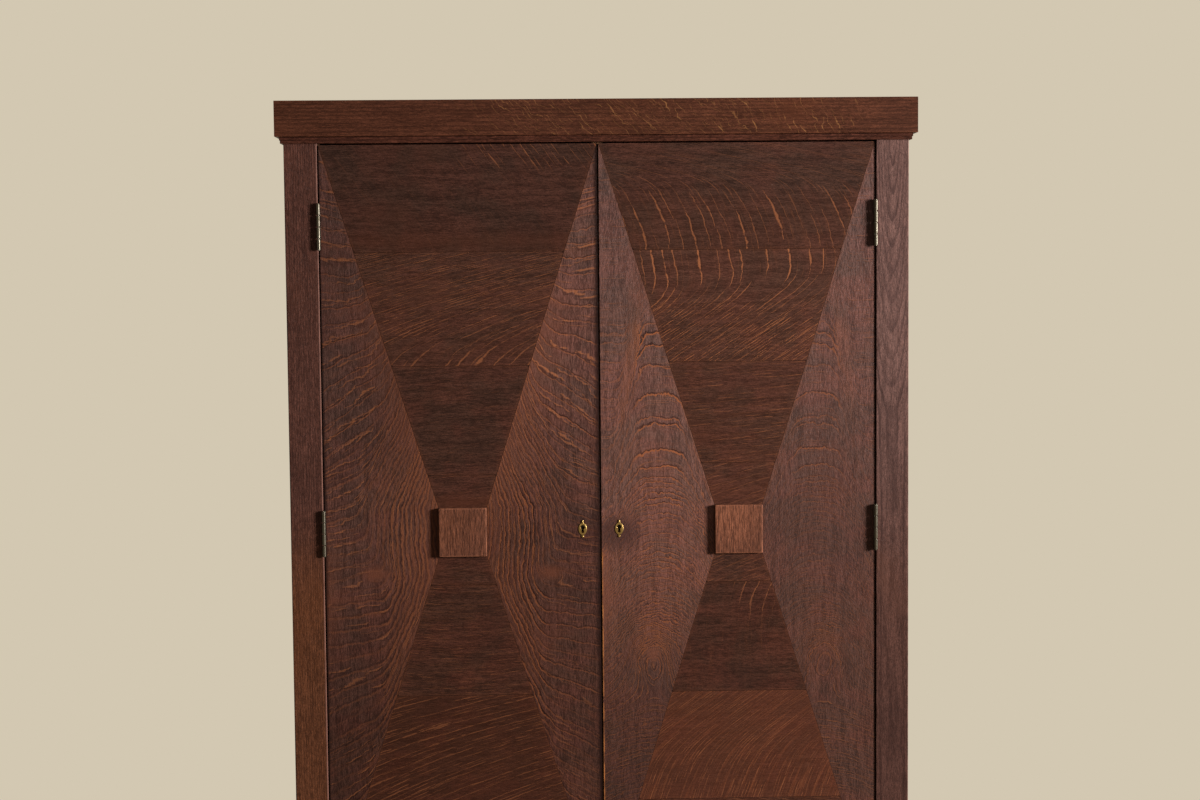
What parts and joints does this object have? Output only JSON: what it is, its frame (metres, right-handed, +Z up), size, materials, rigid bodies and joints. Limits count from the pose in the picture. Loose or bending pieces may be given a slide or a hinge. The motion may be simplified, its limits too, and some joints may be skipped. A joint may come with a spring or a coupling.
{
  "type": "marquetry cabinet",
  "caption": "Free-standing oak cabinet on square legs, with hinged and locking marquetry doors, a plain box cornice and shelved bays either side of a central partition.",
  "frame": {"origin": "on the floor under the middle of the cabinet's bounding box", "axes": "+Z up, +X to the right seen from the front, the doors face -Y"},
  "size_m": [1.23, 0.5, 1.8],
  "materials": {
    "frame_oak": "dark stained quarter-sawn oak, waxed satin",
    "dark_veneer": "dark oak veneer leaves, grain across the door, waxed satin",
    "light_veneer": "lighter oak veneer leaves, grain up the door, waxed satin",
    "block_oak": "lighter oak block, waxed satin",
    "inside_oak": "plain inside oak, dry and unpolished",
    "hinge_brass": "aged pale brass, worn bright on the knuckles",
    "lock_steel": "dull steel lock case",
    "brass": "aged brass"
  },
  "bodies": {
    "root": {"front_left_post": "frame_oak", "front_right_post": "frame_oak", "back_left_post": "frame_oak", "back_right_post": "frame_oak", "front_top_rail": "frame_oak", "front_bottom_rail": "frame_oak", "left_top_rail": "frame_oak", "left_bottom_rail": "frame_oak", "right_top_rail": "frame_oak", "right_bottom_rail": "frame_oak", "left_side_panel": "frame_oak", "right_side_panel": "frame_oak", "back_panel": "inside_oak", "top_board": "frame_oak", "bottom_board": "inside_oak", "partition": "inside_oak", "left_lower_shelf": "inside_oak", "left_upper_shelf": "inside_oak", "right_lower_shelf": "inside_oak", "right_upper_shelf": "inside_oak", "cornice_front": "frame_oak", "cornice_left": "frame_oak", "cornice_right": "frame_oak", "cornice_bead_front": "frame_oak", "cornice_bead_left": "frame_oak", "cornice_bead_right": "frame_oak", "left_top_hinge_frame_leaf": "hinge_brass", "left_top_hinge_pin": "hinge_brass", "left_middle_hinge_frame_leaf": "hinge_brass", "left_middle_hinge_pin": "hinge_brass", "left_bottom_hinge_frame_leaf": "hinge_brass", "left_bottom_hinge_pin": "hinge_brass", "right_top_hinge_frame_leaf": "hinge_brass", "right_top_hinge_pin": "hinge_brass", "right_middle_hinge_frame_leaf": "hinge_brass", "right_middle_hinge_pin": "hinge_brass", "right_bottom_hinge_frame_leaf": "hinge_brass", "right_bottom_hinge_pin": "hinge_brass"},
    "left_door": {"left_door_core": "frame_oak", "left_hourglass_veneer": "dark_veneer", "left_outer_veneer": "light_veneer", "left_inner_veneer": "light_veneer", "left_door_block": "block_oak", "left_escutcheon": "brass", "left_lock_case": "lock_steel", "left_top_hinge_door_leaf": "hinge_brass", "left_middle_hinge_door_leaf": "hinge_brass", "left_bottom_hinge_door_leaf": "hinge_brass"},
    "right_door": {"right_door_core": "frame_oak", "right_hourglass_veneer": "dark_veneer", "right_outer_veneer": "light_veneer", "right_inner_veneer": "light_veneer", "right_door_block": "block_oak", "right_escutcheon": "brass", "right_lock_case": "lock_steel", "right_top_hinge_door_leaf": "hinge_brass", "right_middle_hinge_door_leaf": "hinge_brass", "right_bottom_hinge_door_leaf": "hinge_brass"},
    "left_bolt": {"left_lock_bolt": "brass"},
    "right_bolt": {"right_lock_bolt": "brass"}
  },
  "joints": [
    {"name": "left_door_hinge", "type": "hinge", "parent": "root", "child": "left_door", "pos_m": [-0.53575, -0.2389, 0.96925], "axis": [0, 0, -1], "range_deg": [0, 170]},
    {"name": "right_door_hinge", "type": "hinge", "parent": "root", "child": "right_door", "pos_m": [0.53575, -0.2389, 0.96925], "axis": [0, 0, 1], "range_deg": [0, 170]},
    {"name": "left_bolt_slide", "type": "slide", "parent": "left_door", "child": "left_bolt", "axis": [1, 0, 0], "range_m": [0, 0.01]},
    {"name": "right_bolt_slide", "type": "slide", "parent": "right_door", "child": "right_bolt", "axis": [-1, 0, 0], "range_m": [0, 0.01]}
  ]
}
